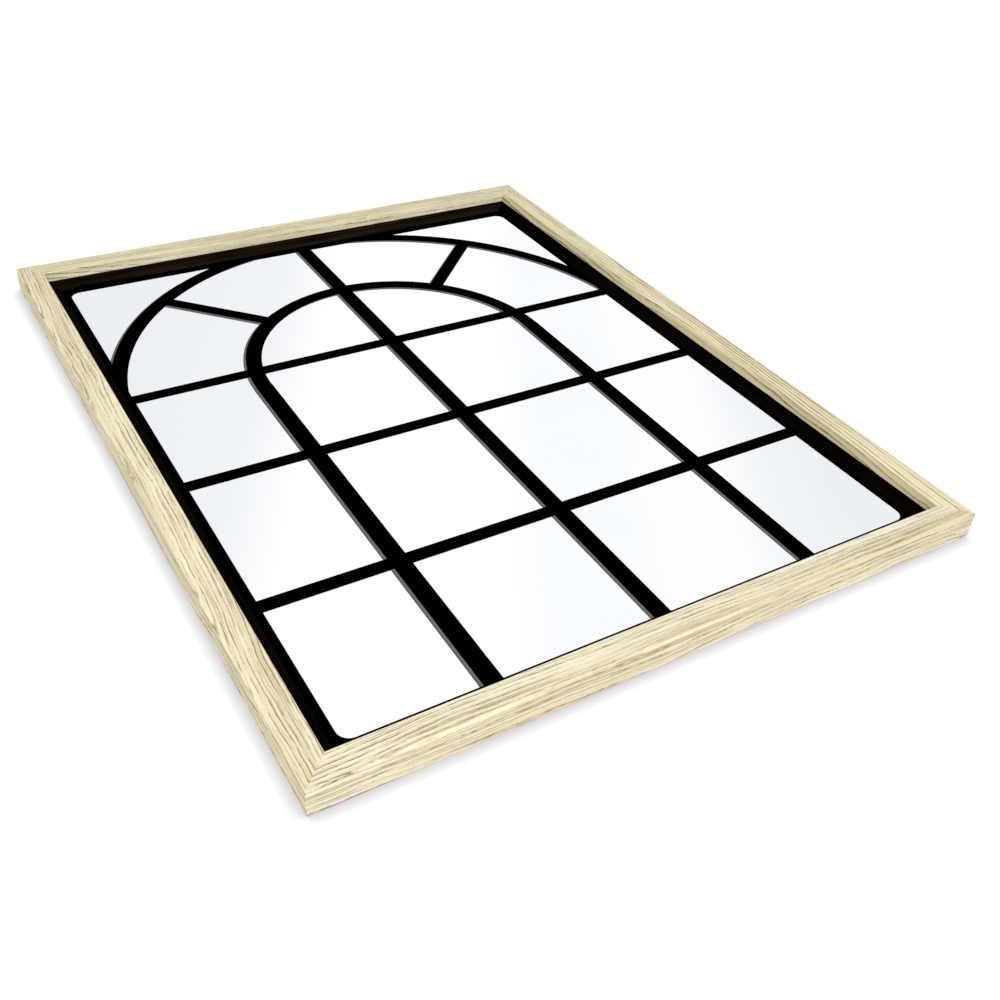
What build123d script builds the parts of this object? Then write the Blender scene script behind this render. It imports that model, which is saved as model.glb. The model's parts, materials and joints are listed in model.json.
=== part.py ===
from build123d import *
from math import atan2, cos, degrees, radians, sin, sqrt
import os

# A mirror in a wooden box frame, dressed as an arched window.
# Millimetres. X runs to the window's right, Y to the top of its arch, and Z out of the mirror.
# The origin is the middle of the frame's back, so the frame lies on the plane Z = 0.

# ---------------------------------------------------------------- driving dimensions
# Moulding
outer_width = 600.0
outer_height = 750.0
face_width = 22.5            # from the outer wall to the sight edge
lip_depth = 10.5             # pale inner wall, from the face down to the slip
rebate_width = 6.0           # from the sight edge out to the rebate's wall
outer_arris_radius = 2.4
sight_arris_radius = 0.9
foot_arris_radius = 0.5      # where the pale wall ends over the slip
back_arris_chamfer = 0.6

# Stack behind the lip, from the front
slip_height = 6.8
slip_ledge_width = 11.0      # the slip's flat, seen inside the sight edge
slip_ledge_thickness = 2.0
slip_ledge_radius = 1.2
slip_clearance = 0.4         # to the rebate's wall
print_thickness = 0.2
glass_thickness = 3.0
glass_arris_chamfer = 0.4
silvering_thickness = 0.2
board_thickness = 2.5
board_recess = 1.8           # from the board to the frame's back
sheet_clearance = 1.0        # glass, silvering and board to the rebate's wall

# Printed window
border_head_width = 21.5     # seen from the sight edge to the panes, at the top
border_foot_width = 14.5     # at the bottom
border_side_width = 16.7     # at the sides
border_corner_radius = 10.0
window_shift = 1.2           # the printed window sits this far right of the frame's middle
upright_width = 16.0
arch_width = 15.3
crossbar_width = 13.2
spoke_width = 14.2
column_pitch = 147.0         # centre bar to side bar, and the inner arch's radius
arch_head_lap = 7.3          # how far the outer arch's inner edge runs under the border, at its top
arch_side_lap = 5.0          # and at its sides
top_crossbar_rise = 35.7     # above the outer arch's centre
inner_arch_drop = 27.2       # the inner arch's centre, below the top crossbar
fan_drop = 9.2               # the point that the spokes aim at, below the top crossbar
pane_shares = [0.954, 1.066, 0.98]  # heights of the rows below the top crossbar, to their mean
spoke_angle = 45.0
shade_left = 3.0             # how far the grey shade falls from an arch, an upright or a spoke
shade_down = 1.6
shade_outline_share = 0.3    # the dark outer line's share of that
shade_taper_angle = 6.0      # bare each side of the spot where an arch's shade would taper out

# Corner nails, pressed into the mitres from the back
nail_thickness = 0.5
nail_leg = 4.5
nail_height = 7.0
nails_per_corner = 2

# Framer's points, which hold the board in the rebate
point_thickness = 0.5
point_width = 7.0
point_lap = 8.0              # over the board
point_bite = 6.0             # into the wood
point_tip = 3.0
point_corner_chamfer = 1.5
points_per_stile = 4
points_per_rail = 3

# Strap hangers, sunk into the back of the stiles
hanger_drop = 195.0          # from the frame's top to the ring's hinge
pocket_depth = 4.5
pocket_outer_wall = 2.5      # wood left between the pocket and the stile's outer wall
pocket_corner_radius = 3.0
pocket_end_clearance = 2.0
pocket_side_clearance = 0.6  # to the ring
strap_thickness = 0.8
strap_length = 30.0
strap_end_radius = 3.0
strap_side_clearance = 0.1   # to the ring's bent corners
ring_wire_radius = 0.9
ring_flat_count = 10         # flats that stand in for the round wire
ring_hinge_clearance = 0.2
ring_side = 6.0              # the straight sides, below the bow
ring_corner_radius = 1.4
screw_head_radius = 2.5
screw_head_height = 1.3
screw_head_chamfer = 0.5
screw_radius = 1.3
screw_length = 11.0
screw_tip_length = 2.6
screw_tip_radius = 0.3
screw_hole_clearance = 0.2
screw_recess_width = 0.6
screw_recess_length = 2.8
screw_recess_depth = 0.6
screw_first = 9.0            # from the ring's hinge to the nearer screw
screw_spacing = 13.0

# ---------------------------------------------------------------- worked out from them
half_width = outer_width / 2
half_height = outer_height / 2
sight_half_width = half_width - face_width
sight_half_height = half_height - face_width

board_back = board_recess
silvering_back = board_back + board_thickness
glass_back = silvering_back + silvering_thickness
glass_front = glass_back + glass_thickness
slip_back = glass_front + print_thickness
lip_back = slip_back + slip_height
frame_depth = lip_back + lip_depth

sheet_width = 2 * (sight_half_width + rebate_width - sheet_clearance)
sheet_height = 2 * (sight_half_height + rebate_width - sheet_clearance)
print_width = sheet_width - 2 * glass_arris_chamfer
print_height = sheet_height - 2 * glass_arris_chamfer

opening_half_width = sight_half_width - border_side_width
opening_head_y = sight_half_height - border_head_width
opening_foot_y = border_foot_width - sight_half_height
outer_arch_inside = opening_half_width + arch_side_lap
outer_arch_radius = outer_arch_inside + arch_width / 2
outer_arch_y = opening_head_y + arch_head_lap - outer_arch_inside
top_crossbar_y = outer_arch_y + top_crossbar_rise
inner_arch_y = top_crossbar_y - inner_arch_drop
fan_centre = Vector(0, top_crossbar_y - fan_drop)
row_pitch = (top_crossbar_y + crossbar_width / 2 - opening_foot_y) / len(pane_shares)

pocket_inner_x = sight_half_width + rebate_width
pocket_outer_x = half_width - pocket_outer_wall
pocket_x = (pocket_inner_x + pocket_outer_x) / 2
pocket_width = pocket_outer_x - pocket_inner_x
ring_half = pocket_width / 2 - pocket_side_clearance - ring_wire_radius
ring_straight = ring_half - ring_corner_radius
ring_reach = ring_side + ring_half
strap_width = 2 * (ring_straight - strap_side_clearance)
hinge_y = half_height - hanger_drop
hinge_eye_radius = ring_wire_radius + ring_hinge_clearance
hinge_barrel_radius = hinge_eye_radius + strap_thickness
hinge_z = pocket_depth - hinge_barrel_radius
strap_back = pocket_depth - strap_thickness
screw_ys = [hinge_y - screw_first, hinge_y - screw_first - screw_spacing]

# The four sides of the frame: name of the side, direction outwards in degrees,
# half span across that direction, half length along the side.
sides = {
    "right": (0, half_width, half_height),
    "top": (90, half_height, half_width),
    "left": (180, half_width, half_height),
    "bottom": (270, half_height, half_width),
}


def side_axes(direction):
    """Unit vectors outwards from the window and along its side."""
    outwards = Vector(cos(radians(direction)), sin(radians(direction)), 0)
    return outwards, outwards.cross(Vector(0, 0, 1))


def mitred_strip(side, corners, roundings, back_chamfer=0.0):
    """A strip along one side of the frame, cut at 45 degrees at both ends.

    corners is its section: distance outwards from the sight edge, height above the back.
    roundings pairs a corner of the section with its radius.
    """
    direction, span, length = sides[side]
    outwards, along = side_axes(direction)
    sight_edge = Plane(origin=outwards * (span - face_width), x_dir=outwards, z_dir=along)
    with BuildPart() as strip:
        with BuildSketch(sight_edge):
            with BuildLine():
                Polyline(*corners, close=True)
            make_face()
            for corner, radius in roundings:
                fillet(vertices().sort_by_distance(corner)[0], radius)
            if back_chamfer:
                chamfer(vertices().sort_by_distance((face_width, 0))[0], back_chamfer)
        extrude(amount=length, both=True)
        for end in (-1, 1):
            frame_corner = outwards * span + along * (end * length)
            split(bisect_by=Plane(origin=frame_corner, z_dir=along * end - outwards), keep=Keep.BOTTOM)
    return strip


def finish(piece, name):
    """Label a finished piece and write it out."""
    piece.part.label = name
    export_step(piece.part, f"parts/{name}.step")


os.makedirs("parts", exist_ok=True)

# ---------------------------------------------------------------- corner nails
# Each nail is a thin steel V that straddles the mitre, one leg in each moulding, flush
# with the back.
land = face_width - rebate_width
nail_half = nail_thickness / 2
nail_v = [
    (nail_half, nail_half),
    (-nail_leg, nail_half),
    (-nail_leg, -nail_half),
    (-nail_half, -nail_half),
    (-nail_half, -nail_leg),
    (nail_half, -nail_leg),
]
nail_places = []
for quarter, (sign_x, sign_y) in enumerate([(1, 1), (-1, 1), (-1, -1), (1, -1)]):
    for n in range(nails_per_corner):
        inset = land * (nails_per_corner - n) / (nails_per_corner + 1)
        nail_x = sign_x * (half_width - inset)
        nail_y = sign_y * (half_height - inset)
        nail_places.append(Location((nail_x, nail_y, 0), (0, 0, 90 * quarter)))

with BuildPart() as corner_nails:
    with BuildSketch(Plane.XY):
        with Locations(*nail_places):
            Polygon(*nail_v, align=None)
    extrude(amount=nail_height)
finish(corner_nails, "corner_nails")

# ---------------------------------------------------------------- framer's points
# Flat steel darts, pushed into the rebate's wall so that they lie on the board's back.
with BuildSketch() as dart:
    Polygon(
        (point_bite, 0),
        (point_bite - point_tip, point_width / 2),
        (-point_lap, point_width / 2),
        (-point_lap, -point_width / 2),
        (point_bite - point_tip, -point_width / 2),
        align=None,
    )
    chamfer(dart.vertices().group_by(Axis.X)[0], point_corner_chamfer)

point_places = []
for direction, span, length in sides.values():
    outwards, along = side_axes(direction)
    count = points_per_stile if span == half_width else points_per_rail
    wall = outwards * (span - face_width + rebate_width)
    for n in range(count):
        station = along * ((n + 0.5) / count - 0.5) * 2 * (length - face_width)
        point_places.append(Location(wall + station, (0, 0, direction)))

with BuildPart() as framer_points:
    with BuildSketch(Plane.XY.offset(board_back - point_thickness)):
        with Locations(*point_places):
            add(dart.sketch)
    extrude(amount=point_thickness)
finish(framer_points, "framer_points")

# ---------------------------------------------------------------- hanger screws
# A low pan head with a cross recess, on a plain shank with a pointed end.
with BuildPart() as hanger_screws:
    for sign in (-1, 1):
        for screw_y in screw_ys:
            head_seat = (sign * pocket_x, screw_y, strap_back)
            with BuildSketch(Plane(origin=head_seat, x_dir=(1, 0, 0), z_dir=(0, -1, 0))):
                with BuildLine():
                    Polyline(
                        (0, -screw_head_height),
                        (screw_head_radius, -screw_head_height),
                        (screw_head_radius, 0),
                        (screw_radius, 0),
                        (screw_radius, screw_length - screw_tip_length),
                        (screw_tip_radius, screw_length),
                        (0, screw_length),
                        close=True,
                    )
                make_face()
                head_rim = vertices().sort_by_distance((screw_head_radius, -screw_head_height))[0]
                chamfer(head_rim, screw_head_chamfer)
            revolve(axis=Axis((sign * pocket_x, screw_y, 0), (0, 0, 1)))
            with BuildSketch(Plane.XY.offset(strap_back - screw_head_height)):
                with Locations((sign * pocket_x, screw_y)):
                    Rectangle(screw_recess_length, screw_recess_width)
                    Rectangle(screw_recess_width, screw_recess_length)
            extrude(amount=screw_recess_depth, mode=Mode.SUBTRACT)
finish(hanger_screws, "hanger_screws")

# ---------------------------------------------------------------- wooden mouldings
# A box section with a soft outer edge, rebated from the back to hold slip, mirror and board.
moulding_section = [
    (0, frame_depth),
    (face_width, frame_depth),
    (face_width, 0),
    (rebate_width, 0),
    (rebate_width, lip_back),
    (0, lip_back),
]
moulding_roundings = [
    ((0, frame_depth), sight_arris_radius),
    ((face_width, frame_depth), outer_arris_radius),
    ((0, lip_back), foot_arris_radius),
]
moulding_names = {
    "right": "right_stile",
    "top": "top_rail",
    "left": "left_stile",
    "bottom": "bottom_rail",
}
pocket_length = strap_length + ring_reach + ring_wire_radius + 2 * pocket_end_clearance
pocket_middle_y = hinge_y + (ring_reach + ring_wire_radius - strap_length) / 2

for side, name in moulding_names.items():
    strip = mitred_strip(side, moulding_section, moulding_roundings, back_arris_chamfer)
    with BuildPart() as moulding:
        add(strip.part)
        add(corner_nails.part, mode=Mode.SUBTRACT)
        add(framer_points.part, mode=Mode.SUBTRACT)
        if name.endswith("stile"):
            sign = 1 if side == "right" else -1
            # the pocket runs out through the rebate's wall, and its far corners are routed round
            pocket_reach = pocket_width + pocket_corner_radius
            pocket_place = (sign * (pocket_outer_x - pocket_reach / 2), pocket_middle_y)
            with BuildSketch(Plane.XY):
                with Locations(pocket_place):
                    RectangleRounded(pocket_reach, pocket_length, pocket_corner_radius)
                with Locations((sign * (pocket_inner_x - pocket_corner_radius), pocket_middle_y)):
                    Rectangle(2 * pocket_corner_radius, pocket_length)
            extrude(amount=pocket_depth, mode=Mode.SUBTRACT)
            add(hanger_screws.part, mode=Mode.SUBTRACT)
    finish(moulding, name)

# ---------------------------------------------------------------- black slips
# An L-section: the leg fills the rebate under the lip, the ledge frames the mirror.
slip_section = [
    (0, lip_back),
    (rebate_width - slip_clearance, lip_back),
    (rebate_width - slip_clearance, slip_back),
    (-slip_ledge_width, slip_back),
    (-slip_ledge_width, slip_back + slip_ledge_thickness),
    (0, slip_back + slip_ledge_thickness),
]
slip_roundings = [((-slip_ledge_width, slip_back + slip_ledge_thickness), slip_ledge_radius)]
for side in sides:
    finish(mitred_strip(side, slip_section, slip_roundings), f"{side}_slip")

# ---------------------------------------------------------------- mirror and board
with BuildPart() as mirror_glass:
    with BuildSketch(Plane.XY.offset(glass_back)):
        Rectangle(sheet_width, sheet_height)
    extrude(amount=glass_thickness)
    chamfer(mirror_glass.faces().sort_by(Axis.Z)[-1].edges(), glass_arris_chamfer)
finish(mirror_glass, "mirror_glass")

with BuildPart() as silvering:
    with BuildSketch(Plane.XY.offset(silvering_back)):
        Rectangle(sheet_width, sheet_height)
    extrude(amount=silvering_thickness)
finish(silvering, "silvering")

with BuildPart() as backing_board:
    with BuildSketch(Plane.XY.offset(board_back)):
        Rectangle(sheet_width, sheet_height)
    extrude(amount=board_thickness)
finish(backing_board, "backing_board")


# ---------------------------------------------------------------- printed window
# The glazing bars are drawn as centre lines and traced to their widths. The side uprights run
# into the inner arch, and the outer arch runs under the border at its top and sides.
def spoke_end(angle, arch_radius, arch_y):
    """Where the spoke at that angle meets an arch's centre line."""
    rise = fan_centre.Y - arch_y
    lift = rise * sin(radians(angle))
    reach = sqrt(arch_radius**2 - rise**2 + lift**2) - lift
    return fan_centre + Vector(cos(radians(angle)), sin(radians(angle))) * reach


# All of it is drawn about the window's own middle line, and shifted onto the glass.
window_place = Location((window_shift, 0, 0))

with BuildSketch() as bars:
    with BuildLine():
        CenterArc((0, inner_arch_y), column_pitch, 0, 180)
        CenterArc((0, outer_arch_y), outer_arch_radius, 0, 180)
    trace(line_width=arch_width)
    with BuildLine():
        Line((0, -sight_half_height), (0, sight_half_height))
        for column in (-column_pitch, column_pitch):
            Line((column, -sight_half_height), (column, inner_arch_y))
    trace(line_width=upright_width)
    with BuildLine():
        for angle in (spoke_angle, 180 - spoke_angle):
            inner_end = spoke_end(angle, column_pitch, inner_arch_y)
            outer_end = spoke_end(angle, outer_arch_radius, outer_arch_y)
            Line(inner_end, outer_end)
    trace(line_width=spoke_width)

with BuildSketch() as crossbars:
    with BuildLine():
        crossbar_y = top_crossbar_y
        for share in pane_shares:
            Line((-sight_half_width, crossbar_y), (sight_half_width, crossbar_y))
            crossbar_y -= crossbar_width + share * (row_pitch - crossbar_width)
    trace(line_width=crossbar_width)

with BuildSketch() as opening:
    with Locations((0, (opening_head_y + opening_foot_y) / 2)):
        RectangleRounded(2 * opening_half_width, opening_head_y - opening_foot_y, border_corner_radius)

with BuildSketch() as lattice:
    Rectangle(print_width, print_height)
    with Locations(window_place):
        add(opening.sketch, mode=Mode.SUBTRACT)
        add(bars.sketch)
        add(crossbars.sketch)

with BuildPart() as window_print:
    with BuildSketch(Plane.XY.offset(glass_front)):
        add(lattice.sketch)
    extrude(amount=print_thickness)
finish(window_print, "window_print")


# The grey shade is what shows of the arches, uprights and spokes slid down to the left: a
# pale band beside each bar, and a dark line along the band's outer edge. Where an arch runs the
# way that the shade falls, the shade would taper to nothing, and that stretch is left bare.
fall_angle = 90 + degrees(atan2(shade_down, shade_left))
with BuildSketch() as shaded_panes:
    add(opening.sketch)
    with BuildLine():
        arch_centre = Vector(0, inner_arch_y)
        bare_from = Vector(1, 0).rotate(Axis.Z, fall_angle - shade_taper_angle)
        bare_to = Vector(1, 0).rotate(Axis.Z, fall_angle + shade_taper_angle)
        Polyline(
            arch_centre + bare_from * column_pitch / 2,
            arch_centre + bare_from * outer_height,
            arch_centre + bare_to * outer_height,
            arch_centre + bare_to * column_pitch / 2,
            close=True,
        )
    make_face(mode=Mode.SUBTRACT)


def slid_bars(share):
    """The bars inside the opening, slid by a share of the shade's fall."""
    with BuildSketch() as slid:
        add(bars.sketch.moved(Location((-shade_left * share, -shade_down * share, 0))))
        add(shaded_panes.sketch, mode=Mode.INTERSECT)
    return slid.sketch.moved(window_place)


band_share = 1 - shade_outline_share
with BuildPart() as shade_band:
    with BuildSketch(Plane.XY.offset(glass_front)):
        add(slid_bars(band_share))
        add(lattice.sketch, mode=Mode.SUBTRACT)
    extrude(amount=print_thickness)
finish(shade_band, "shade_band")

with BuildPart() as shade_outline:
    with BuildSketch(Plane.XY.offset(glass_front)):
        add(slid_bars(1))
        add(slid_bars(band_share), mode=Mode.SUBTRACT)
        add(lattice.sketch, mode=Mode.SUBTRACT)
    extrude(amount=print_thickness)
finish(shade_outline, "shade_outline")

# ---------------------------------------------------------------- strap hangers
# The strap lies on the pocket's floor and curls round the ring's straight leg.
for side, sign in (("left", -1), ("right", 1)):
    with BuildPart() as strap:
        with BuildSketch(Plane.YZ.offset(sign * pocket_x)):
            with Locations((hinge_y - strap_length / 2, strap_back + strap_thickness / 2)):
                Rectangle(strap_length, strap_thickness)
            with Locations((hinge_y, hinge_z)):
                Circle(hinge_barrel_radius)
                Circle(hinge_eye_radius, mode=Mode.SUBTRACT)
        extrude(amount=strap_width / 2, both=True)
        strap_end = strap.edges().filter_by(Axis.Z).group_by(Axis.Y)[0]
        fillet(strap_end, strap_end_radius)
        with Locations(*[(sign * pocket_x, screw_y, strap_back) for screw_y in screw_ys]):
            Cylinder(screw_radius + screw_hole_clearance, 4 * strap_thickness, mode=Mode.SUBTRACT)
    finish(strap, f"{side}_hanger_strap")

    # one half of the ring, from the middle of its straight leg to the top of its bow
    leg_middle = Vector(sign * pocket_x, hinge_y, hinge_z)
    corner_start = leg_middle + (ring_straight, 0, 0)
    side_start = leg_middle + (ring_half, ring_corner_radius, 0)
    bow_start = leg_middle + (ring_half, ring_side, 0)
    corner_axis = Axis(corner_start + (0, ring_corner_radius, 0), (0, 0, 1))
    bow_axis = Axis(leg_middle + (0, ring_side, 0), (0, 0, 1))
    with BuildPart() as ring:
        with BuildSketch(Plane(leg_middle, z_dir=(1, 0, 0))):
            RegularPolygon(ring_wire_radius, ring_flat_count)
        extrude(amount=ring_straight)
        with BuildSketch(Plane(corner_start, z_dir=(1, 0, 0))):
            RegularPolygon(ring_wire_radius, ring_flat_count)
        revolve(axis=corner_axis, revolution_arc=90)
        with BuildSketch(Plane(side_start, z_dir=(0, 1, 0))):
            RegularPolygon(ring_wire_radius, ring_flat_count)
        extrude(amount=ring_side - ring_corner_radius)
        with BuildSketch(Plane(bow_start, z_dir=(0, 1, 0))):
            RegularPolygon(ring_wire_radius, ring_flat_count)
        revolve(axis=bow_axis, revolution_arc=90)
        mirror(about=Plane.YZ.offset(sign * pocket_x))
    finish(ring, f"{side}_hanger_ring")
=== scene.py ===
import bmesh
import bpy
import json
import math
from mathutils import Matrix, Vector


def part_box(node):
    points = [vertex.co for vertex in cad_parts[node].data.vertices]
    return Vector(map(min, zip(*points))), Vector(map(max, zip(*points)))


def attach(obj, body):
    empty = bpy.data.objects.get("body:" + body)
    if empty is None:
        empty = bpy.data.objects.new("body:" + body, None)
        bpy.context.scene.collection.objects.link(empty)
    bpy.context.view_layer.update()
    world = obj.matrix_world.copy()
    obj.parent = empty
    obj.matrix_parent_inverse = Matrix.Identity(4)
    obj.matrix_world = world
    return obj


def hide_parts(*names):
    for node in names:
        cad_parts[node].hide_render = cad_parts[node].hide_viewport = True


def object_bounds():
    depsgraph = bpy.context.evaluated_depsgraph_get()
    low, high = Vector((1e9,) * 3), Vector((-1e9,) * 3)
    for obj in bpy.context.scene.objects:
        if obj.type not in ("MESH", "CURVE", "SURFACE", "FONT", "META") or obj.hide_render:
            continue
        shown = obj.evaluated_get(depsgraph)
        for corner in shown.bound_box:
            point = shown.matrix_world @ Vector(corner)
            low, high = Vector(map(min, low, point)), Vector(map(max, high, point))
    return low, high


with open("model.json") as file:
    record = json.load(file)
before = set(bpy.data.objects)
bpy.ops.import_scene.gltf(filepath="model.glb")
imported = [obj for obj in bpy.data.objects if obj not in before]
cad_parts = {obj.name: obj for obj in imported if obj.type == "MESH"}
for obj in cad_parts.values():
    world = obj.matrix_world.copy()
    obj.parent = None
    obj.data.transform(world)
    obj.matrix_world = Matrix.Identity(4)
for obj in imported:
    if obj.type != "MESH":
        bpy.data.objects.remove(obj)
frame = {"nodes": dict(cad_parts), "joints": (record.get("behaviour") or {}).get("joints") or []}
cadLow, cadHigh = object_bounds()
nodes = frame["nodes"]

millimetre = 0.001
touching = 0.01 * millimetre   # two places nearer than this are one
print("frame loaded:", len(nodes), "nodes")


class Wire:  # a node's output that can stand in a sum
    def __init__(self, tree, socket=None):
        self.tree = tree
        self.socket = socket

    def put(self, kind, settings=None, inputs=None, output=0):  # any other node
        node = self.tree.nodes.new(kind)
        for key, value in (settings or {}).items():
            if key == "stops":
                self.setStops(node.color_ramp, value)
            else:
                setattr(node, key, value)
        for key, value in (inputs or {}).items():
            if isinstance(value, Wire):
                self.tree.links.new(value.socket, node.inputs[key])
            else:
                node.inputs[key].default_value = value
        return Wire(self.tree, node.outputs[output]) if node.outputs else None

    def sibling(self, output):  # another output of the same node
        return Wire(self.tree, self.socket.node.outputs[output])

    def setStops(self, ramp, stops):
        while len(ramp.elements) < len(stops):
            ramp.elements.new(1.0)
        for element, (place, colour) in zip(ramp.elements, stops):
            element.position = place
            element.color = asColour(colour)

    def math(self, operation, *values):
        return self.put("ShaderNodeMath", {"operation": operation}, dict(enumerate(values)))

    def __add__(self, other):
        return self.math("ADD", self, other)

    def __sub__(self, other):
        return self.math("SUBTRACT", self, other)

    def __rsub__(self, other):
        return self.math("SUBTRACT", other, self)

    def __mul__(self, other):
        return self.math("MULTIPLY", self, other)

    def __truediv__(self, other):
        return self.math("DIVIDE", self, other)

    __radd__ = __add__
    __rmul__ = __mul__

    def between(self, low, high):  # 0 below low, 1 above high, smooth between
        steps = {"interpolation_type": "SMOOTHSTEP"}
        return self.put("ShaderNodeMapRange", steps, {0: self, 1: low, 2: high})

    def blend(self, first, second):  # colours: first where this is 0, second where it is 1
        return self.put("ShaderNodeMix", {"data_type": "RGBA"}, {0: self, 6: first, 7: second}, 2)

    def parts(self):  # a vector's x, y and z
        x = self.put("ShaderNodeSeparateXYZ", None, {0: self})
        return [x.sibling(axis) for axis in range(3)]


def asColour(colour):
    if isinstance(colour, (int, float)):
        return (colour, colour, colour, 1.0)
    return (*colour, 1.0)


def fromScreen(red, green, blue):  # a colour as seen on a screen, 0 to 255
    shades = []
    for level in (red / 255, green / 255, blue / 255):
        shades.append(level / 12.92 if level < 0.04045 else ((level + 0.055) / 1.055) ** 2.4)
    return tuple(shades)


def paler(colour, times):
    return tuple(min(1.0, level * times) for level in colour)


def emptyTree(owner):  # a material's or the world's nodes, to start from none
    owner.use_nodes = True
    owner.node_tree.nodes.clear()
    return Wire(owner.node_tree)


def newMaterial(name):
    material = bpy.data.materials.new(name)
    return material, emptyTree(material)


def finished(material, wire, values):  # with a principled surface
    surface = wire.put("ShaderNodeBsdfPrincipled", None, values)
    wire.put("ShaderNodeOutputMaterial", None, {"Surface": surface})
    return material


def objectPlace(wire):  # x, y, z in metres
    return wire.put("ShaderNodeTexCoord", None, None, "Object").parts()


def noise(place, scales, detail, roughness):  # scales: changes per metre, for all axes or for each
    if isinstance(scales, float):
        scales = (scales, scales, scales)
    stretched = {axis: part * scale for axis, part, scale in zip("XYZ", place, scales)}
    vector = place[0].put("ShaderNodeCombineXYZ", None, stretched)
    values = {"Vector": vector, "Scale": 1.0, "Detail": detail, "Roughness": roughness}
    return vector.put("ShaderNodeTexNoise", {"noise_dimensions": "3D"}, values)


def bumped(height, depth):
    return height.put("ShaderNodeBump", None, {"Height": height, "Distance": depth, "Strength": 1.0})


def dress(name, material):
    piece = nodes[name]
    piece.data.materials.clear()
    piece.data.materials.append(material)


# Rails: a box moulding, rebated from the back, its arrises rounded, cut to 45 degrees.
rail = {
    "rebate": 6.0 * millimetre,          # from the sight edge out to the rebate's wall
    "outerArris": 2.4 * millimetre,
    "outerSteps": 6,
    "sightArris": 0.9 * millimetre,
    "sightSteps": 4,
    "footArris": 0.5 * millimetre,       # at the lip's lower edge
    "footSteps": 3,
    "backArris": 0.6 * millimetre,
    "backSteps": 2,
    "mitreArris": 0.12 * millimetre,     # leaves a hairline where two rails meet
    "pocketCorner": 3.0 * millimetre,    # routed for the hangers
    "pocketSteps": 8,
    "pocketWall": 2.5 * millimetre,
    "pocketDepth": 4.5 * millimetre,
    "pocketSlack": 2.0 * millimetre,     # past the strap and the ring
    "pastBack": 1.0 * millimetre,        # how far a cut is carried out through the back
    "softBelow": math.radians(32),       # edges that turn less than this are shaded smooth
}
halfWidth, halfHeight, railDepth = cadHigh
sightX = halfWidth - (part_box("right_stile")[1][0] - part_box("right_stile")[0][0])
railFace = halfWidth - sightX
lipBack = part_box("top_slip")[1][2]

# Oak: growth rings cut at a slant, so that face and walls of a rail show one set of lines.
oak = {
    "sand": fromScreen(236, 222, 183),
    "tan": fromScreen(196, 173, 125),
    "line": fromScreen(98, 70, 14),        # the dark edge of a ring
    "pore": fromScreen(120, 91, 30),
    "highlightPale": fromScreen(255, 248, 226),    # pale wood beside the line, also a painted highlight along the line's lit side
    "lineShare": 0.96,
    "fineShare": 0.6,
    "bandShare": 0.45,
    "fibreShare": 0.34,
    "fleckShare": 0.3,
    "faintest": 0.25,                      # of a line, where the rings stand out least
    "waver": 6.0 * millimetre,             # how far a ring wanders along the rail
    "ripple": 0.75 * millimetre,
    "jitter": 0.2 * millimetre,
    "faceSlope": 0.82,                     # of the rings
    "wallLightShadeEdge": 0.3 * millimetre,          # the inner wall's painted light and shade fades from here to the arris's end
    "grainDepth": 0.2 * millimetre,
    "fibreHeight": 0.3,                    # as a share of that depth
    "fineHeight": 0.4,
    "roughness": 0.5,
    "fibreRoughness": 0.18,
    "gloss": 0.3,
    "noises": {  # changes per metre along a plank, across it and up, then detail and roughness
        "waver": ((4.0, 9.0, 9.0), 1.0, 0.5),
        "ripple": ((27.0, 60.0, 60.0), 1.0, 0.5),
        "jitter": ((190.0, 700.0, 700.0), 1.0, 0.5),
        "vivid": ((7.0, 150.0, 150.0), 2.0, 0.5),
        "broken": ((70.0, 420.0, 420.0), 3.0, 0.65),
        "fineGate": ((12.0, 190.0, 190.0), 2.0, 0.5),
        "fibre": ((46.0, 1500.0, 1500.0), 3.0, 0.6),
        "fleck": ((240.0, 1700.0, 1700.0), 2.0, 0.6),
        "tone": ((1.8, 62.0, 62.0), 3.0, 0.5),
        "band": ((2.2, 130.0, 130.0), 3.0, 0.5),
    },
    "limits": {  # a noise counts as 0 below the first and as 1 above the second
        "vivid": (0.36, 0.56),
        "broken": (0.38, 0.56),
        "fineGate": (0.38, 0.62),
        "fibre": (0.48, 0.78),
        "fleck": (0.56, 0.7),
        "tone": (0.3, 0.7),
        "band": (0.5, 0.72),
    },
}

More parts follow.
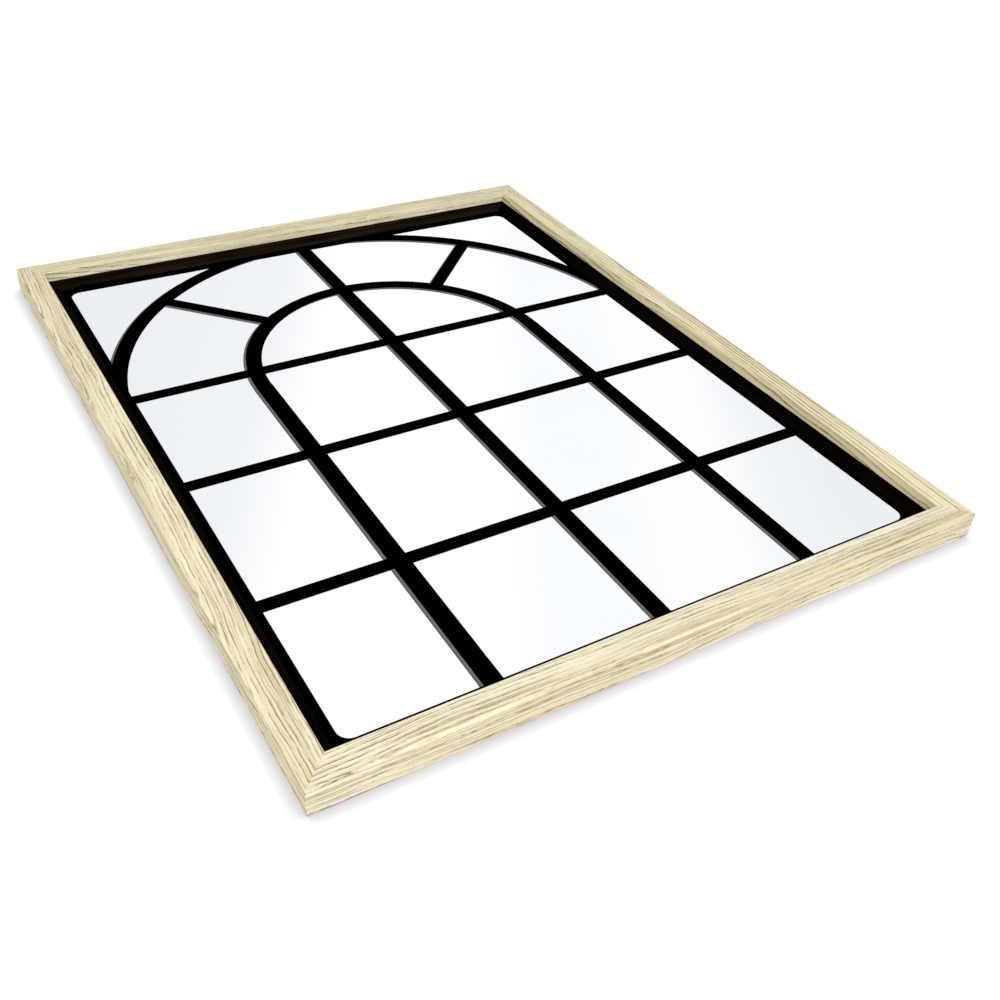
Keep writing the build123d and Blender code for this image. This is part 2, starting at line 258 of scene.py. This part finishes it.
# Each plank: its place in metres along the wood, how far its rings lean, their slope on the walls,
# their pitches in millimetres, how bold, whole and wavy the lines are, the shares of fine lines,
# pale wood with its painted highlight, and tan, its ground colour, and the painted light and shade
# on its inner wall, in place of how the light falls there.
planks = {
    # painted light: the right plank's ground is paler, to make up for the lamp's weaker light on that
    # side
    "right": {
        "place": 3.1, "lean": -0.012, "wallSlope": 0.5, "ringPitch": 3.7, "finePitch": 1.9,
        "bold": 1.6, "whole": 0.5, "ripple": 0.8, "fine": 0.5, "glow": 0.8, "stain": 0.35,
        "cream": fromScreen(255, 247, 206), "wallLightShadeTint": fromScreen(216, 194, 138), "wallLightShadeShare": 0.45},
    "top": {
        "place": 7.7, "lean": 0.01, "wallSlope": 0.6, "ringPitch": 3.1, "finePitch": 0.97,
        "bold": 1.0, "whole": 0.22, "ripple": 0.5, "fine": 0.75, "glow": 0.5, "stain": 1.0,
        "cream": fromScreen(247, 238, 206), "wallLightShadeTint": fromScreen(255, 247, 212), "wallLightShadeShare": 0.95},
    "left": {
        "place": 11.9, "lean": 0.03, "wallSlope": 0.4, "ringPitch": 3.1, "finePitch": 1.9,
        "bold": 1.0, "whole": 0.22, "ripple": 1.2, "fine": 0.9, "glow": 0.5, "stain": 1.05,
        "cream": fromScreen(250, 241, 208), "wallLightShadeTint": fromScreen(244, 222, 160), "wallLightShadeShare": 0.2},
    "bottom": {
        "place": 17.3, "lean": -0.012, "wallSlope": 0.6, "ringPitch": 3.1, "finePitch": 1.6,
        "bold": 1.0, "whole": 0.22, "ripple": 0.8, "fine": 0.9, "glow": 0.7, "stain": 0.8,
        "cream": fromScreen(252, 244, 218), "wallLightShadeTint": fromScreen(244, 222, 160), "wallLightShadeShare": 0.2},
}


def oakMaterial(side, outwards):
    plank = planks[side]
    material, wire = newMaterial("oak_" + side)
    x, y, height = objectPlace(wire)
    along, across = (y, x * outwards[0]) if outwards[0] else (x, y * outwards[1])
    fromSight = across - (halfWidth if outwards[0] else halfHeight) + railFace
    across = across + along * plank["lean"]
    along = along + plank["place"]

    def grain(pattern):
        return noise((along, across, height), *oak["noises"][pattern])

    def sway(pattern, reach):  # from -reach to reach, as a noise stays within about 0.25 of 0.5
        return (grain(pattern) - 0.5) * (4 * reach)

    def patches(pattern):
        return grain(pattern).between(*oak["limits"][pattern])

    def lines(pitch, stops):  # the same stops again at each ring: place across it, strength
        phase = wire.math("FRACT", depth / (pitch * millimetre))
        return wire.put("ShaderNodeValToRGB", {"stops": stops}, {"Fac": phase})

    waver = sway("waver", oak["waver"])
    ripple = sway("ripple", oak["ripple"] * plank["ripple"])
    jitter = sway("jitter", oak["jitter"])
    depth = across * oak["faceSlope"] + height * plank["wallSlope"] + waver + ripple + jitter
    bold = plank["bold"]
    ringLine = lines(plank["ringPitch"], [
        (0.0, 1.0), (0.07 * bold, 0.9), (0.13 * bold, 0.15), (0.5, 0.0),
        (1 - 0.12 * bold, 0.12), (1 - 0.05 * bold, 0.4), (1.0, 1.0)])
    # painted highlight: a pale band just past each ring's dark line, standing for its lit side as well
    # as pale wood
    highlightBand = lines(plank["ringPitch"], [
        (0.0, 0.0), (0.12 * bold, 0.0), (0.1 + 0.12 * bold, 1.0), (0.36, 0.5), (0.6, 0.0)])
    fineLine = lines(plank["finePitch"], [(0.0, 1.0), (0.2, 0.6), (0.4, 0.0), (0.75, 0.0), (1.0, 1.0)])
    faintest, whole = oak["faintest"], plank["whole"]
    gate = (faintest + (1 - faintest) * patches("vivid")) * (whole + (1 - whole) * patches("broken"))
    fineGate = patches("fineGate") * plank["fine"]
    fibre = grain("fibre")
    fibreMask = fibre.between(*oak["limits"]["fibre"])
    wallLightShadeMask = 1 - fromSight.between(oak["wallLightShadeEdge"], rail["sightArris"])  # painted light and shade on the wall above the slip, lighter on the top rail, darker and browner on the right stile

    layers = [  # from the ground up: where, colour
        (wallLightShadeMask * plank["wallLightShadeShare"], plank["wallLightShadeTint"]),
        (patches("band") * (oak["bandShare"] * plank["stain"]), oak["tan"]),
        (fibreMask * (oak["fibreShare"] * plank["stain"]), oak["tan"]),
        (patches("fleck") * oak["fleckShare"], oak["pore"]),
        (highlightBand * gate * plank["glow"], oak["highlightPale"]),
        (fineLine * fineGate * oak["fineShare"], oak["pore"]),
        (ringLine * gate * oak["lineShare"], oak["line"]),
    ]
    colour = patches("tone").blend(asColour(plank["cream"]), asColour(oak["sand"]))
    for share, stain in layers:
        colour = share.blend(colour, asColour(stain))
    relief = fibre * oak["fibreHeight"] - ringLine * gate - fineLine * fineGate * oak["fineHeight"]
    return finished(material, wire, {
        "Base Color": colour,
        "Roughness": oak["roughness"] + oak["fibreRoughness"] * fibre,
        "Specular IOR Level": oak["gloss"],
        "Normal": bumped(relief, oak["grainDepth"]),
    })


def onlySelect(piece):
    bpy.ops.object.select_all(action="DESELECT")
    piece.select_set(True)
    bpy.context.view_layer.objects.active = piece


def applyPlace():
    bpy.ops.object.transform_apply(location=True, rotation=True, scale=True)


def box(name, low, high):  # from corner to corner, its place in its mesh
    bpy.ops.object.select_all(action="DESELECT")
    middle = [(a + b) / 2 for a, b in zip(low, high)]
    bpy.ops.mesh.primitive_cube_add(size=1, location=middle, scale=[b - a for a, b in zip(low, high)])
    applyPlace()
    bpy.context.object.name = name
    return bpy.context.object


def pick(piece, kind, wanted):  # in edit mode, selects the edges or faces that pass
    bpy.ops.mesh.select_mode(type=kind)
    bpy.ops.mesh.select_all(action="DESELECT")
    net = bmesh.from_edit_mesh(piece.data)
    net.normal_update()
    found = [item for item in (net.edges if kind == "EDGE" else net.faces) if wanted(item)]
    for item in found:
        item.select_set(True)
    bmesh.update_edit_mesh(piece.data)


def near(a, b):
    return abs(a - b) < touching


def turned(piece, name, angle):  # a copy with its own mesh, turned about the frame's middle
    onlySelect(piece)
    bpy.ops.object.duplicate(linked=False)
    other = bpy.context.object
    other.name = name
    other.rotation_euler = (0, 0, math.radians(angle))
    applyPlace()
    return other


def cutter(node, deepen):  # a closed copy of a node, its back pushed out past the wood's
    piece = bpy.data.objects.new("cut_" + node, nodes[node].data.copy())
    bpy.context.scene.collection.objects.link(piece)
    onlySelect(piece)
    bpy.ops.object.mode_set(mode="EDIT")
    bpy.ops.mesh.select_all(action="SELECT")
    bpy.ops.mesh.remove_doubles(threshold=touching / 10)    # its triangles are loose
    if deepen:
        pick(piece, "FACE", lambda face: all(near(vertex.co.z, cadLow[2]) for vertex in face.verts))
        bpy.ops.transform.translate(value=(0, 0, -deepen))
    bpy.ops.object.mode_set(mode="OBJECT")
    return piece


def carve(piece, tool):
    onlySelect(piece)
    modifier = piece.modifiers.new("carve", "BOOLEAN")
    modifier.operation = "DIFFERENCE"
    modifier.solver = "EXACT"
    modifier.object = tool
    bpy.ops.object.modifier_apply(modifier=modifier.name)


def smooth(piece, angle):
    onlySelect(piece)
    bpy.ops.object.shade_smooth_by_angle(angle=angle)
    weigh = piece.modifiers.new("weigh", "WEIGHTED_NORMAL")
    weigh.keep_sharp = True
    bpy.ops.object.modifier_apply(modifier=weigh.name)


def bottomRail(name, span, reach):  # along X from -reach to reach, its outer wall at Y = -span
    sight = -(span - railFace)
    wall = sight - rail["rebate"]
    piece = box(name, (-reach, -span, lipBack), (reach, sight, railDepth))
    bpy.ops.object.mode_set(mode="EDIT")
    bpy.ops.mesh.select_all(action="SELECT")
    bpy.ops.mesh.bisect(plane_co=(0, wall, 0), plane_no=(0, 1, 0))
    # outside the rebate the wood goes on down to the back
    pick(piece, "FACE", lambda face: face.normal.z < -0.9 and face.calc_center_median().y < wall)
    bpy.ops.mesh.extrude_region_move(TRANSFORM_OT_translate={"value": (0, 0, -lipBack)})

    def arris(y, z):
        return lambda edge: all(near(vertex.co.y, y) and near(vertex.co.z, z) for vertex in edge.verts)

    edges = {  # the y and z of each
        "outer": (-span, railDepth),
        "sight": (sight, railDepth),
        "foot": (sight, lipBack),
        "back": (-span, 0.0),
    }
    for edge, (y, z) in edges.items():
        pick(piece, "EDGE", arris(y, z))
        bpy.ops.mesh.bevel(offset=rail[edge + "Arris"], segments=rail[edge + "Steps"], affect="EDGES")
    for end in (-1, 1):  # the mitres
        bpy.ops.mesh.select_mode(type="FACE")
        bpy.ops.mesh.select_all(action="SELECT")
        bpy.ops.mesh.bisect(
            plane_co=(end * reach, -span, 0), plane_no=(end, 1, 0), use_fill=True, clear_outer=True)
    pick(piece, "FACE", lambda face: abs(face.normal.x) > 0.5)
    bpy.ops.mesh.region_to_loop()
    bpy.ops.mesh.bevel(offset=rail["mitreArris"], segments=1, affect="EDGES")
    bpy.ops.object.mode_set(mode="OBJECT")
    return piece


def pocket(side):  # the hanger's bed, open towards the rebate
    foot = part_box(side + "_hanger_strap")[0][1] - rail["pocketSlack"]
    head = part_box(side + "_hanger_ring")[1][1] + rail["pocketSlack"]
    low = [sightX + rail["rebate"] - rail["pocketCorner"], foot, -rail["pastBack"]]
    high = [halfWidth - rail["pocketWall"], head, rail["pocketDepth"]]
    if side == "left":
        low[0], high[0] = -high[0], -low[0]
    piece = box("cut_pocket", low, high)
    outer = high[0] if side == "right" else low[0]
    bpy.ops.object.mode_set(mode="EDIT")
    pick(piece, "EDGE", lambda edge: all(near(vertex.co.x, outer) for vertex in edge.verts)
         and near(edge.verts[0].co.y, edge.verts[1].co.y))
    bpy.ops.mesh.bevel(offset=rail["pocketCorner"], segments=rail["pocketSteps"], affect="EDGES")
    bpy.ops.object.mode_set(mode="OBJECT")
    return piece


outwardsOf = {"right": (1, 0), "top": (0, 1), "left": (-1, 0), "bottom": (0, -1)}
railOf = {"right": "right_stile", "top": "top_rail", "left": "left_stile", "bottom": "bottom_rail"}

rails = {"bottom": bottomRail("bottom_moulding", halfHeight, halfWidth)}
rails["top"] = turned(rails["bottom"], "top_moulding", 180)
upright = bottomRail("upright_moulding", halfWidth, halfHeight)
rails["right"] = turned(upright, "right_moulding", 90)
rails["left"] = turned(upright, "left_moulding", -90)
bpy.data.objects.remove(upright)
cuts = [cutter("corner_nails", rail["pastBack"])]
cuts += [cutter(name, 0) for name in ("framer_points", "hanger_screws")]
for side, piece in rails.items():
    for tool in cuts:
        carve(piece, tool)
    if side in ("left", "right"):
        bed = pocket(side)
        carve(piece, bed)
        bpy.data.objects.remove(bed)
    smooth(piece, rail["softBelow"])
    piece.data.materials.append(oakMaterial(side, outwardsOf[side]))
    piece.visible_glossy = False    # so the panes stay plain
    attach(piece, "frame")
    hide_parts(railOf[side])
for tool in cuts:
    bpy.data.objects.remove(tool)
print("oak rails made")

# The slips are stained nearly black, with a little brown left in the grain; how much brown shows
# differs by side, most on the top slip and least on the right.
slip = {
    "black": fromScreen(6, 4, 3),
    "brown": fromScreen(57, 42, 31),
    "brownShare": {"top": 0.65, "left": 0.15, "bottom": 0.15, "right": 0.08},
    "betweenLines": 0.25,              # how much of the brown is left there
    "lineNoise": ((7.0, 620.0, 620.0), 4.0, 0.6),    # changes per metre, detail, roughness
    "lineLimits": (0.44, 0.66),
    "cloudNoise": ((9.0, 60.0, 60.0), 3.0, 0.5),
    "cloudLimits": (0.25, 0.6),
    "roughness": 0.32,
    "lineRoughness": 0.2,
    "gloss": 0.0,
    "grainDepth": 0.05 * millimetre,
}


def slipMaterial(side, outwards):
    material, wire = newMaterial("slip_" + side)
    x, y, height = objectPlace(wire)
    place = (y, x, height) if outwards[0] else (x, y, height)
    lines = noise(place, *slip["lineNoise"])
    clouds = noise(place, *slip["cloudNoise"]).between(*slip["cloudLimits"])
    stain = (slip["betweenLines"] + lines.between(*slip["lineLimits"])) * clouds
    stain = stain * slip["brownShare"][side]
    return finished(material, wire, {
        "Base Color": stain.blend(asColour(slip["black"]), asColour(slip["brown"])),
        "Roughness": slip["roughness"] + slip["lineRoughness"] * lines,
        "Specular IOR Level": slip["gloss"],
        "Normal": bumped(lines, slip["grainDepth"]),
    })


for side, outwards in outwardsOf.items():
    dress(side + "_slip", slipMaterial(side, outwards))
print("slips dressed")

mirror = {
    "clear": (1.0, 1.0, 1.0),
    "cool": (0.99, 0.995, 1.0),
    "roughness": 0.012,
    "haze": 0.02,                      # and this much more in places
    "hazeNoise": (9.0, 3.0, 0.5),
    "hazeLimits": (0.3, 0.7),
}
paint = {  # behind the silver
    "grey": (0.33, 0.35, 0.37),
    "pale": (0.4, 0.42, 0.44),
    "roughness": 0.6,
    "peelNoise": (300.0, 2.0, 0.5),
    "peelLimits": (0.3, 0.8),
    "peelDepth": 0.05 * millimetre,
}
inks = {  # colour, gloss
    "window_print": ((0.0003, 0.0003, 0.0003), 0.0),
    "shade_band": (fromScreen(104, 104, 106), 0.05),
    "shade_outline": (fromScreen(75, 75, 77), 0.05),
}
inkFilm = {
    "paler": 1.25,
    "mottleNoise": (700.0, 2.0, 0.5),
    "mottleLimits": (0.4, 0.8),
    "roughness": 0.5,
    "mottleRoughness": 0.15,
}


def mirrorMaterial():
    material, wire = newMaterial("mirror")
    haze = noise(objectPlace(wire), *mirror["hazeNoise"])
    clouded = haze.between(*mirror["hazeLimits"])
    return finished(material, wire, {
        "Base Color": clouded.blend(asColour(mirror["clear"]), asColour(mirror["cool"])),
        "Metallic": 1.0,
        "Roughness": mirror["roughness"] + mirror["haze"] * haze,
    })


def paintMaterial():
    material, wire = newMaterial("backing_paint")
    peel = noise(objectPlace(wire), *paint["peelNoise"])
    raised = peel.between(*paint["peelLimits"])
    return finished(material, wire, {
        "Base Color": raised.blend(asColour(paint["grey"]), asColour(paint["pale"])),
        "Roughness": paint["roughness"],
        "Normal": bumped(peel, paint["peelDepth"]),
    })


def inkMaterial(name, colour, gloss):
    material, wire = newMaterial(name + "_ink")
    mottle = noise(objectPlace(wire), *inkFilm["mottleNoise"])
    thin = mottle.between(*inkFilm["mottleLimits"])
    return finished(material, wire, {
        "Base Color": thin.blend(asColour(colour), asColour(paler(colour, inkFilm["paler"]))),
        "Roughness": inkFilm["roughness"] + inkFilm["mottleRoughness"] * mottle,
        "Specular IOR Level": gloss,
    })


dress("mirror_glass", mirrorMaterial())
dress("silvering", paintMaterial())
for name, (colour, gloss) in inks.items():
    dress(name, inkMaterial(name, colour, gloss))
print("mirror dressed")

board = {
    "dark": (0.29, 0.172, 0.094),
    "light": (0.335, 0.208, 0.116),
    "fibre": (0.5, 0.36, 0.22),
    "fibreShare": 0.6,
    "fibreNoise": ((900.0, 240.0, 400.0), 4.0, 0.7),
    "fibreLimits": (0.55, 0.75),
    "cloudNoise": (14.0, 3.0, 0.5),
    "cloudLimits": (0.3, 0.7),
    "roughness": 0.75,
    "fibreRoughness": 0.15,
    "gloss": 0.2,
    "fibreDepth": 0.12 * millimetre,
}
steels = {  # colour, patches per metre
    "corner_nails": ((0.42, 0.43, 0.45), 1500.0),
    "framer_points": ((0.5, 0.51, 0.53), 600.0),
    "zinc": ((0.62, 0.63, 0.65), 900.0),
}
steelSkin = {
    "paler": 1.2,
    "patchLimits": (0.35, 0.65),
    "roughness": 0.24,
    "patchRoughness": 0.22,
    "patchDepth": 0.02 * millimetre,
}


def boardMaterial():
    material, wire = newMaterial("fibreboard")
    place = objectPlace(wire)
    fibres = noise(place, *board["fibreNoise"])
    pale = fibres.between(*board["fibreLimits"]) * board["fibreShare"]
    cloud = noise(place, *board["cloudNoise"]).between(*board["cloudLimits"])
    colour = cloud.blend(asColour(board["dark"]), asColour(board["light"]))
    colour = pale.blend(colour, asColour(board["fibre"]))
    return finished(material, wire, {
        "Base Color": colour,
        "Roughness": board["roughness"] + board["fibreRoughness"] * fibres,
        "Specular IOR Level": board["gloss"],
        "Normal": bumped(fibres, board["fibreDepth"]),
    })


def steelMaterial(name):
    colour, spangle = steels[name]
    material, wire = newMaterial(name + "_steel")
    patch = noise(objectPlace(wire), spangle, 3.0, 0.5)
    bright = patch.between(*steelSkin["patchLimits"])
    return finished(material, wire, {
        "Base Color": bright.blend(asColour(colour), asColour(paler(colour, steelSkin["paler"]))),
        "Metallic": 1.0,
        "Roughness": steelSkin["roughness"] + steelSkin["patchRoughness"] * patch,
        "Normal": bumped(patch, steelSkin["patchDepth"]),
    })


zinc = steelMaterial("zinc")
dress("backing_board", boardMaterial())
for name in ("corner_nails", "framer_points"):
    dress(name, steelMaterial(name))
for name in ("hanger_screws", "left_hanger_strap", "right_hanger_strap"):
    dress(name, zinc)
print("back dressed")

# Rings: round wire, bent from one leg through two corners to a bow.
ring = {
    "wire": 0.9 * millimetre,        # radius
    "half": 5.5 * millimetre,        # from the middle to the wire's centre line
    "leg": 6.0 * millimetre,         # from the hinge's line to the bow
    "corner": 1.4 * millimetre,
    "wireSteps": 20,
    "bowSteps": 32,
    "cornerSteps": 10,
}


def hangerRing(side, hinge):
    half, leg, corner = ring["half"], ring["leg"], ring["corner"]
    bpy.ops.object.select_all(action="DESELECT")
    bpy.ops.mesh.primitive_circle_add(
        vertices=ring["wireSteps"], radius=ring["wire"],
        location=hinge + Vector((half, leg, 0)), rotation=(math.radians(90), 0, 0))
    applyPlace()
    piece = bpy.context.object
    piece.name = side + "_round_ring"
    bpy.ops.object.mode_set(mode="EDIT")
    bpy.ops.mesh.select_mode(type="EDGE")
    bpy.ops.mesh.select_all(action="SELECT")

    def bend(x, y, angle, steps):
        bpy.ops.mesh.spin(
            steps=steps, angle=math.radians(angle), center=hinge + Vector((x, y, 0)), axis=(0, 0, -1))

    def run(x, y):
        bpy.ops.mesh.extrude_region_move(TRANSFORM_OT_translate={"value": (x, y, 0)})

    bend(0, leg, 180, ring["bowSteps"])
    run(0, corner - leg)
    bend(corner - half, corner, 90, ring["cornerSteps"])
    run(2 * (half - corner), 0)
    bend(half - corner, corner, 90, ring["cornerSteps"])
    run(0, leg - corner)
    bpy.ops.mesh.select_all(action="SELECT")
    bpy.ops.mesh.remove_doubles(threshold=touching)
    bpy.ops.mesh.normals_make_consistent(inside=False)
    bpy.ops.object.mode_set(mode="OBJECT")
    bpy.ops.object.shade_smooth()
    return piece


for joint in frame["joints"]:
    body = joint["child"]
    side = body.split("_")[0]
    piece = hangerRing(side, Vector(joint["pos_m"]))
    piece.data.materials.append(zinc)
    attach(piece, body)
    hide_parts(side + "_hanger_ring")
print("rings bent")

# Studio: plain white to the eye, even light on the wood, and a ceiling of pale strips for the mirror.
studio = {
    "ambient": 0.6,                    # light from all round, as a share of white
    "frontLight": 0.36,                # and this much more from the lower rail's side
    "leftLight": 0.1,                  # and from the left stile's side
    "heading": math.radians(29.0),     # the strips run this way, clockwise from +Y
    "lowest": 0.02,                    # the strips stop this near the horizon
    "start": -0.7,                     # where the strips start across the ceiling
    "span": 1.5,                       # and how wide they are together
    "strips": [                        # place across the ceiling, colour
        (-0.60, fromScreen(236, 238, 242)),
        (-0.27, fromScreen(242, 244, 248)),
        (-0.19, (1.0, 1.0, 1.0)),
        (0.12, (1.0, 1.0, 1.0)),
        (0.18, fromScreen(249, 251, 254)),
        (0.30, fromScreen(249, 251, 253)),
        (0.37, fromScreen(254, 254, 255)),
        (0.45, fromScreen(253, 254, 255)),
        (0.53, fromScreen(243, 245, 248)),
        (0.64, fromScreen(237, 240, 244)),
    ],
}

world = bpy.data.worlds.new("studio")
bpy.context.scene.world = world
sky = emptyTree(world)
skyX, skyY, skyZ = sky.put("ShaderNodeTexCoord", None, None, "Generated").parts()
crossing = skyX * math.cos(studio["heading"]) - skyY * math.sin(studio["heading"])
reach = crossing / sky.math("MAXIMUM", skyZ, studio["lowest"])
stops = [((place - studio["start"]) / studio["span"], colour) for place, colour in studio["strips"]]
ceiling = sky.put(
    "ShaderNodeValToRGB", {"stops": stops}, {"Fac": (reach - studio["start"]) / studio["span"]})
level = studio["ambient"] + sky.math("MAXIMUM", skyY * -1.0, 0.0) * studio["frontLight"]
level = level + sky.math("MAXIMUM", skyX * -1.0, 0.0) * studio["leftLight"]
cameraRay = sky.put("ShaderNodeLightPath", None, None, "Is Camera Ray")
glossyRay, clearRay = [cameraRay.sibling(name) for name in ("Is Glossy Ray", "Is Transmission Ray")]
plain = sky.put("ShaderNodeBackground", None, {"Color": asColour(1.0), "Strength": 1.0})
striped = sky.put("ShaderNodeBackground", None, {"Color": ceiling, "Strength": 1.0})
ambient = sky.put("ShaderNodeBackground", None, {"Color": asColour(1.0), "Strength": level})
lit = sky.put("ShaderNodeMixShader", None, {0: glossyRay, 1: ambient, 2: striped})
seen = sky.math("MAXIMUM", cameraRay, clearRay)
shown = sky.put("ShaderNodeMixShader", None, {0: seen, 1: lit, 2: plain})
sky.put("ShaderNodeOutputWorld", None, {"Surface": shown})

# Floor: paper that only the camera sees, and only from above.
paper = {
    "size": 16.0,
    "gap": 0.2 * millimetre,             # under the frame's back
    "glow": (0.9, 0.905, 0.915),
    "colour": 0.2,                       # what it takes of the lamp's light
    "shade": (0.02, 0.02, 0.04),
    "shadeReach": 16.0 * millimetre,     # how near the frame it darkens
    "shadeSamples": 16,
}
bpy.ops.object.select_all(action="DESELECT")
bpy.ops.mesh.primitive_plane_add(size=paper["size"], location=(0, 0, -paper["gap"]))
floor = bpy.context.object
floor.name = "floor"
floorPaper, wire = newMaterial("floor_paper")
backfacing = wire.put("ShaderNodeNewGeometry", None, None, "Backfacing")
seen = wire.put("ShaderNodeLightPath", None, None, "Is Camera Ray") * (1 - backfacing)
openness = wire.put(
    "ShaderNodeAmbientOcclusion", {"samples": paper["shadeSamples"]},
    {"Distance": paper["shadeReach"]}, "AO")
shaded = openness.blend(asColour(paper["shade"]), asColour(paper["glow"]))
glow = wire.put("ShaderNodeEmission", None, {"Color": shaded, "Strength": 1.0})
matt = wire.put("ShaderNodeBsdfDiffuse", None, {"Color": asColour(paper["colour"])})
sheet = wire.put("ShaderNodeAddShader", None, {0: glow, 1: matt})
clear = wire.put("ShaderNodeBsdfTransparent")
surface = wire.put("ShaderNodeMixShader", None, {0: seen, 1: clear, 2: sheet})
wire.put("ShaderNodeOutputMaterial", None, {"Surface": surface})
floor.data.materials.append(floorPaper)

softbox = {
    "share": 0.428,                    # what it adds to a white sheet that faces it
    "place": (-0.86, -1.2, 1.6),
    "aim": (0.0, 0.0, 0.0),
    "size": 1.1,
}
bpy.ops.object.light_add(type="AREA", location=softbox["place"])
lamp = bpy.context.object
lamp.name = "softbox"
lamp.data.shape = "SQUARE"
lamp.data.size = softbox["size"]
# the power that lights a sheet at that distance by that share
lamp.data.energy = softbox["share"] * math.pi ** 2 * Vector(softbox["place"]).length ** 2
lamp.rotation_euler = (Vector(softbox["aim"]) - lamp.location).to_track_quat("-Z", "Y").to_euler()
lamp.visible_glossy = False
print("studio lit")

view = {
    "place": (-0.4470, -0.7731, 0.5737),
    "aim": (-0.0311, -0.1570, 0.0),
    "roll": math.radians(4.83),
    "lens": 40.05,
    "filmWidth": 36.0,
    "nearest": 0.01,
}
bpy.ops.object.camera_add(location=view["place"])
camera = bpy.context.object
camera.name = "camera"
facing = (Vector(view["aim"]) - camera.location).to_track_quat("-Z", "Y").to_matrix()
camera.rotation_euler = (facing @ Matrix.Rotation(view["roll"], 3, "Z")).to_euler()
camera.data.lens = view["lens"]
camera.data.sensor_width = view["filmWidth"]
camera.data.clip_start = view["nearest"]
bpy.context.scene.camera = camera
bpy.context.scene.view_settings.view_transform = "Standard"
print("camera placed")
